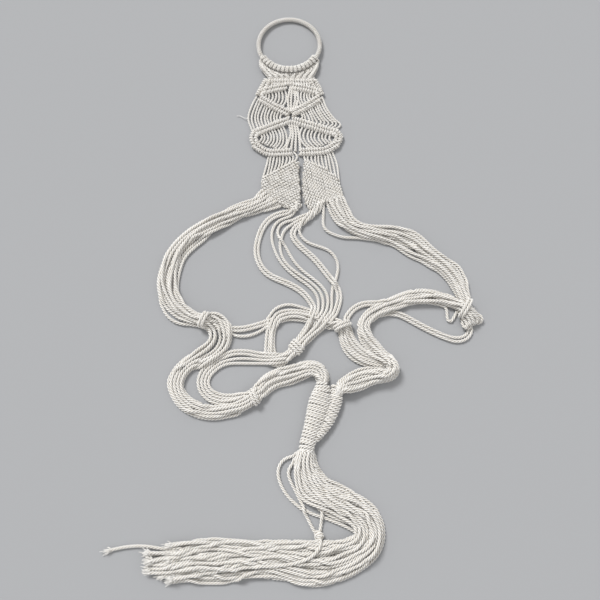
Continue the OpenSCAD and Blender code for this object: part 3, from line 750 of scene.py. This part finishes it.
# ---------------------------------------------------------------- free cords
FREE_NODES = {
    "cord_left_1": ["arm_left", "loop_left_outer", "lead_left"],
    "cord_left_3": ["tie_left"],
    "cord_middle_1": ["middle_cord_1", "upright_left"],
    "cord_middle_3": ["middle_cord_2"],
    "cord_middle_4": ["middle_cord_3", "loop_left_inner"],
    "cord_middle_5": ["middle_cord_4", "middle_bundle"],
    "cord_middle_6": ["middle_cord_5", "centre_sweep"],
    "cord_middle_8": ["middle_cord_6"],
    "cord_right_1": ["slack_cord", "arm_right"],
    "cord_right_2": ["fold_right", "return_right", "lower_right_in", "lower_right_out"],
    "cord_right_4": ["loop_right"],
    "cord_right_6": ["return_branch"],
    "cord_left_2": ["tassel_bundles"],
    "cord_left_4": ["tassel_cord_1"],
    "cord_left_8": ["tassel_cord_2"],
    "cord_right_5": ["tassel_cord_3"],
    "cord_right_11": ["lone_cord"],
}
# Below the gather the cords go over from the knotwork to the tassel, in metres.
for (name, _), line in zip(strands, settled):
    obj = piece(name, [line], phase=float(rng.uniform(0, 6)), pitch=float(rng.uniform(9.6, 10.6)),
                nodes=FREE_NODES.get(name, ()))
    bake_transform(obj)

# ---------------------------------------------------------------- frayed ends
FIBRES = 34             # at each cut end
tips = []
for line in settled:
    end, back = line[-1], headings(line)[-1]
    for _ in range(FIBRES):
        reach = rng.uniform(2.6, 5.2)
        bend_by = rng.normal(0, 1, 3) * 0.2
        start = end - back * 1.4 + bend_by * 4.2
        first, last = back + bend_by, back + bend_by * 1.5 + (0, 0, -0.15)
        middle = start + first * reach * 0.5
        pts = np.array([start, middle, middle + last * reach * 0.5])
        pts[:, 2] = np.maximum(pts[:, 2], 0.5)
        tips.append((smooth(pts, 4), dict(radius=np.linspace(0.42, 0.24, 9), plies=1, step=1.4)))
piece("frayed_tips_cord", tips, "tassel", ["frayed_tips"])

# ---------------------------------------------------------------- knots and wraps
everything = np.vstack(settled)
facing = np.vstack([headings(line) for line in settled])


WRAP_R = 1.5            # radius of the cord of a tying knot


def wrap_knot(name, centre, heading, turns, pitch):
    """Cord wound round whatever bundle passes a point."""
    t = np.array(heading, float)
    t /= np.linalg.norm(t)
    n = np.array([-t[1], t[0]])
    aligned = np.abs(facing[:, :2] @ t) > 0.75
    close = np.hypot(everything[:, 0] - centre[0], everything[:, 1] - centre[1]) < 11
    near = everything[aligned & close]
    rel = near[:, :2] - centre
    part = near[(np.abs(rel @ t) < 3.2) & (np.abs(rel @ n) < 9.5)]
    off = (part[:, :2] - centre) @ n
    lo, hi = off.min() - R, off.max() + R
    low, top = part[:, 2].min() - R, part[:, 2].max() + R
    mid = np.array(centre) + n * (lo + hi) / 2
    w, h = hi - lo + 2 * WRAP_R + 0.2, top - low + 2 * WRAP_R + 0.2
    z = max((top + low) / 2, h / 2 + 0.05)
    half = turns * pitch / 2
    narrow = (w * 0.93, h * 0.97)
    route = [(*(mid - t * half), z, *narrow), (*mid, z, w, h), (*(mid + t * half), z, *narrow)]
    piece(name, [coil(route, pitch, WRAP_R, 1.2, -math.pi / 2)], "knotwork", [name[:-5]],
          step=0.7, radius=WRAP_R, taper=2.0)


wrap_knot("knot_left_wrap", (-104, -56.5), (9, -3), 2, 3.3)
wrap_knot("knot_lower_left_wrap", (-51, -134.8), (9, 6), 2, 3.3)
wrap_knot("knot_middle_wrap", (-8, -84), (-7, -8.5), 3, 3.5)
wrap_knot("knot_centre_right_wrap", (40.5, -61), (3, -5.5), 2, 3.3)
wrap_knot("knot_right_wrap", (166, -43.5), (-9, 4.5), 2, 3.3)

# The windings of the gather, with x, y, z, width and height for each point.
front = [(x, y, h / 2 + 0.4, w + 1, h + 0.6) for x, y, w, h in GATHER_FRONT]
piece("gather_front_wrap", [coil(front, 3.4, 1.75, 0.4, 0.3, 0.25)], "knotwork", ["gather_front"],
      radius=1.75, step=0.8)
side = [(x, y, h / 2 + 0.3, max(w, 9), h) for x, y, w, h in GATHER_SIDE[:-1]]
side.append((11.5, -175.5, 5.4, 8.5, 10.4))
piece("gather_side_wrap", [coil(side, 3.3, 1.65, 1.2, 0.0, 0.3)], "knotwork", ["gather_side"],
      radius=1.65, step=0.8)
neck = [(3, -179.5, 6.4, 16.4, 12.4), (2.2, -183, 6.5, 16.2, 12.6), (1.8, -187, 6.5, 15.6, 12.6),
        (1.8, -190.5, 6.3, 14.5, 12)]
piece("gather_neck_wrap", [coil(neck, 3.7, 1.7, 0.5, 0.0, 0.1)], "knotwork", ["gather_neck"],
      radius=1.7, step=0.8)
knot = [(10.5, -263, 3), (14.5, -264, 5.2), (17, -267, 4), (15.2, -270, 1.9), (11.8, -269.8, 1.9),
        (10.6, -266.8, 4.6), (12.6, -265.6, 6.4), (15.2, -268, 6), (13.5, -271.5, 3.6), (9.5, -271.5, 2)]
piece("overhand_knot_cord", [smooth(knot, 6)], "tassel", ["overhand_knot"])


# ---------------------------------------------------------------- ring
def at_ring(p):
    """From the ring's own frame, flat and centred, into the part's."""
    c, s = math.cos(-TIP), math.sin(-TIP)
    return np.column_stack([p[:, 0], p[:, 1] * c - p[:, 2] * s, p[:, 1] * s + p[:, 2] * c]) + RING_CENTRE


def round_ring(angle, u, v):
    """A point beside the ring: angle round it, u outwards from the middle of its wire, v up."""
    return np.column_stack([(RING_R + u) * np.cos(angle), (RING_R + u) * np.sin(angle), v])


WRAP_TURNS = 92         # of the cord round the hoop, close enough to hide it
angle = np.linspace(0, 2 * np.pi, WRAP_TURNS * 14)
winding = round_ring(angle, 1.55 * np.cos(WRAP_TURNS * angle), 1.55 * np.sin(WRAP_TURNS * angle))
piece("ring_wrap_cord", [at_ring(winding)], "ring", ["ring_wrap"], radius=1.2, step=0.7, pitch=5.5)
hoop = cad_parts["ring_hoop"]
hoop.data.materials.clear()
hoop.data.materials.append(STEEL)

# Each lark's head is a loop over the ring, and its two ends lead down to the first row of knots.
LEADERS_Y = 231         # where the leaders have come together
heads, leaders = [], []
step = math.radians(60 * 2 / HEADS)
for i in range(HEADS):
    mid = math.radians(-90 - 60) + step * (i + 0.5)
    legs = []
    for sign in (-1, 1):
        turn = np.radians(np.linspace(-22, -318, 22))
        big = rng.uniform(3.8, 4.3)
        u, v = big * np.cos(turn), big * np.sin(turn)
        lean = rng.uniform(-0.05, 0.05)
        ang = mid + sign * step * np.concatenate([np.full(len(u) - 4, 0.2) + lean, [0.2, 0.18, 0.15, 0.08]])
        legs.append(round_ring(ang, u, v))
    line = at_ring(np.vstack([legs[0], legs[1][::-1]]))
    heads.append(smooth(line, 3))
    for j, sign in enumerate((-1, 1)):
        around = mid + sign * step * 0.25
        top = at_ring(round_ring(np.full(2, around), np.array([1.5, 3.9]), np.array([-3.7, -1.2])))
        x = -41 + 51 / HEADS * (i + 0.5) + sign * 0.8
        lift = 2.2 * ((i + j) % 2)
        side_step = rng.uniform(-0.7, 0.7)
        drop = top[-1][1] - LEADERS_Y
        foot = np.array([
            [0.9 * top[-1][0] + 0.1 * x + side_step, LEADERS_Y + 0.62 * drop, 4.2 + lift],
            [0.45 * top[-1][0] + 0.55 * x, LEADERS_Y + 0.25 * drop, 4 + lift],
            [x, 230, 3.8 + lift],
            [x, 225.5, 3.2]])
        leaders.append(smooth(np.vstack([top, foot]), 5))
piece("lark_heads_cord", heads, "ring_loops", ["lark_heads"], radius=1.12, step=0.6, pitch=6)
obj = piece("leader_cords_cord", leaders, None, ["leader_cords"], radius=1.25, step=0.6, pitch=8)
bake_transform(obj)


# ---------------------------------------------------------------- patterned band
def hitches(name, points, count=2, width=5.3, nodes=None, height=6.0):
    """Rows of double half hitches side by side along a route."""
    p = smooth(np.array([(x, y, 0) for x, y in points], float), 8)
    n = sideways(p)
    lines = []
    hand = -1 if "left" in name else 1
    for k in range(count):
        off = (k - (count - 1) / 2) * (width - 0.5)
        size = np.full((len(p), 3), (height / 2, width, height))
        route = np.column_stack([p[:, :2] + n * off, size])
        lines.append(coil(route[::4] if len(route) > 12 else route, 3.0 * hand, 1.35, 0.4, k * 1.3, 0.25))
    piece(name, lines, "knotwork", nodes or [name[:-5]], radius=1.35, step=0.75, pitch=7.5)


hitches("hinge_row_cord", [(-43, 226), (-16, 226), (12, 226)], 1, 6.4, height=6.4)
ROWS = {
    "row_1_left": [(-50, 211.5), (-36, 216), (-20, 219)],
    "row_1_right": [(17.5, 211.5), (4, 216), (-12, 219)],
    "row_2_left": [(-51, 204.5), (-34, 194), (-16, 184.5)],
    "row_2_right": [(18, 204.5), (3, 194), (-14, 184.5)],
    "row_3_left": [(-55, 160), (-38, 167.8), (-16, 176.5)],
    "row_3_right": [(36, 160), (12, 168.2), (-13, 176.5)],
    "row_4_left": [(-56, 147), (-40, 136.5), (-14, 137)],
    "row_4_right": [(38, 148), (22, 138.5), (-5, 137)],
}
for name, points in ROWS.items():
    hitches(name + "_cord", points)
# Short rows along the edges of the band and in its top, which belong to the long row of their number.
SHORT_ROWS = {
    "edge_1_left": [(-41, 228), (-46, 218), (-51, 207)],
    "edge_1_right": [(10, 228), (15, 218), (18.5, 208)],
    "fill_1_left": [(-38, 222), (-28, 221.5), (-15, 223)],
    "fill_1_right": [(7, 222), (-4, 221.5), (-17, 223)],
    "edge_3_left": [(-53, 162), (-56.5, 155), (-54, 147)],
    "edge_3_right": [(33, 163), (39, 156), (36, 148)],
}
for name, points in SHORT_ROWS.items():
    kind, number, hand = name.split("_")
    hitches(name + "_cord", points, 1 if kind == "fill" else 2, nodes=[f"row_{number}_{hand}"])


FAN_Z = 1.6


def fan(name, inner, outer, count, extra=()):
    """Open cords between two guide lines."""
    a, b = smooth(inner, 8), smooth(outer, 8)
    a, b = resample(np.column_stack([a, a[:, 0] * 0]), 1), resample(np.column_stack([b, b[:, 0] * 0]), 1)
    t = np.linspace(0, 1, 24)
    ia = np.column_stack([np.interp(t, np.linspace(0, 1, len(a)), a[:, c]) for c in (0, 1)])
    ib = np.column_stack([np.interp(t, np.linspace(0, 1, len(b)), b[:, c]) for c in (0, 1)])
    lines = []
    for k in range(count):
        f = k / (count - 1)
        q = ia * (1 - f) + ib * f
        wave = 0.25 * np.sin(t * 5 + k * 2.1)
        lines.append(np.column_stack([q[:, 0] + wave, q[:, 1], FAN_Z + 0.8 * np.sin(t * 3.1 + k) ** 2]))
    node = "panel_cords" if name.startswith("panel") else name[:-5]
    piece(name, lines + list(extra), "knotwork", [node], radius=1.1)


WHISKER = smooth([(-61, 178, 3), (-67, 179.5, 2.4), (-72, 182.5, 1.6), (-76, 183, 0.5)], 5)
fan("fan_1_left_cord", [(-45, 213), (-43, 208), (-45, 203)],
    [(-24, 220), (-20.5, 210), (-21, 200), (-27, 190)], 7)
fan("fan_1_right_cord", [(12, 213), (9.5, 208), (12, 203)],
    [(-8, 220), (-10, 210), (-9, 200), (-5, 190)], 7)
fan("fan_2_left_cord", [(-24, 188), (-27, 181), (-25, 174)],
    [(-54, 207), (-59, 195), (-62.5, 179), (-58, 163)], 11, [(WHISKER, dict(radius=0.3, plies=1))])
fan("fan_2_right_cord", [(-5, 188), (-2, 181), (-4, 174)],
    [(20, 207), (26, 191), (34, 179), (41, 171.5), (34, 165)], 11)
fan("fan_3_left_cord", [(-50, 161), (-47, 155), (-50, 149)],
    [(-25, 172), (-20, 160), (-20, 148), (-26, 139)], 9)
fan("fan_3_right_cord", [(31, 161), (28, 155), (31, 149)],
    [(0, 171), (-4.5, 160), (-2, 149), (7, 140)], 9)

# The cords down the middle of the band, with x at their top, their widest and their foot.
UPPER = [(-15.5, -18.2, -17), (-13.5, -14.6, -14.8), (-12.5, -10, -13.6), (-10.5, -6.6, -11.5)]
LOWER = [(-17, -14.8, -21), (-14, -12.4, -14.6), (-11, -9.2, -9.6), (-8.2, -6, -3.6)]
centre = []
for top, out, low in UPPER:
    centre.append(smooth([(top, 221, 2.2), ((top + out) / 2, 212, 2.2), (out, 203, 3),
                          ((out + low) / 2, 193, 2.6), (low, 185, 2.2)], 6))
for top, out, low in LOWER:
    centre.append(smooth([(top, 172, 2.2), (out, 160, 2.2), ((out + low) / 2, 149, 2.6),
                          (low, 138, 2.2)], 6))
piece("centre_cords_cord", centre, "knotwork", ["centre_cords"], radius=1.4)
fan("panel_cords_left", [(-12, 138), (-8, 131), (-12, 123)], [(-39, 135), (-42, 120), (-46, 101)], 10)
fan("panel_cords_right", [(3, 138), (0, 131), (5, 123)], [(31, 138), (36, 122), (39, 97)], 10)

# ---------------------------------------------------------------- panels
PANEL_L = [
    (-5, 126), (-12, 124), (-20, 120), (-28, 116), (-34, 112), (-42, 108), (-47, 103), (-46, 92),
    (-22, 71), (-10, 66), (-5, 72), (-4, 85), (-5, 100), (-6, 112),
]
PANEL_R = [
    (0, 127), (-1, 112), (-2, 95), (-1, 85), (1, 76), (5, 69), (12, 69), (19, 74), (43, 84),
    (39, 98), (36, 106), (28, 112), (20, 118), (10, 123),
]


def spans(outline, y):
    """Left and right edge of an outline at a height."""
    xs = []
    for (x0, y0), (x1, y1) in zip(outline, outline[1:] + outline[:1]):
        if (y0 <= y) != (y1 <= y):
            xs.append(x0 + (x1 - x0) * (y - y0) / (y1 - y0))
    return (min(xs), max(xs)) if len(xs) > 1 else None


def panel(name, outline, slope):
    """Diagonal rows of hitches, packed side by side, that fill an outline."""
    pts = np.array(outline, float)
    t = np.array([math.cos(math.radians(slope)), math.sin(math.radians(slope))])
    n = np.array([-t[1], t[0]])
    turned = [tuple(q) for q in np.stack([pts @ t, pts @ n], 1)]
    low, high = min(y for _, y in turned), max(y for _, y in turned)
    lines = []
    rows = int((high - low) / 3.0)
    for k in range(rows):
        y = low + (k + 0.5) * (high - low) / rows
        got = spans(turned, y)
        if got and got[1] - got[0] > 5:
            xs = np.linspace(got[0] + 0.4, got[1] - 0.4, 6)
            bow = 0.4 * np.sin(np.linspace(0, 5, 6) + k)
            mid = np.outer(xs, t) + np.outer(y + bow, n)
            route = np.column_stack([mid, np.full(6, 3.6), np.full(6, 4.2), np.full(6, 6.6)])
            lines.append(coil(route, 2.75, 1.2, 0.0, k * 2.3, 0.45))
    piece(name + "_cord", lines, "knotwork", [name], radius=1.15, step=0.7, pitch=7)


panel("panel_left", PANEL_L, 29)
panel("panel_right", PANEL_R, -25)

# ---------------------------------------------------------------- stage
bpy.ops.mesh.primitive_plane_add(size=40, location=(0, 0, -0.0004))
table = bpy.context.object
table.name = "table_top"
table_material, _, table_shader = shader("table", (0.37, 0.375, 0.385), 0.95)
table_shader.inputs["Specular IOR Level"].default_value = 0.1
table.data.materials.append(table_material)

world = bpy.data.worlds.new("studio")
bpy.context.scene.world = world
bpy.context.scene.view_settings.view_transform = "Standard"
world.use_nodes = True
background = world.node_tree.nodes["Background"]
background.inputs["Color"].default_value = (1, 1, 1, 1)
background.inputs["Strength"].default_value = 0.62


def sun(name, where, power, softness):
    """A distant lamp that shines from a direction: every part of the table gets the same light."""
    light = bpy.data.lights.new(name, "SUN")
    light.energy = power
    light.angle = math.radians(softness)
    obj = bpy.data.objects.new(name, light)
    obj.location = where
    tilt = math.acos(where[2] / math.hypot(*where))
    turn = math.atan2(-where[0], where[1]) + math.pi
    obj.rotation_euler = (tilt, 0, turn)
    bpy.context.scene.collection.objects.link(obj)


sun("key", (-1.25, 1.6, 2.65), 2.35, 18)
sun("fill", (0.9, -0.4, 1.2), 0.2, 60)
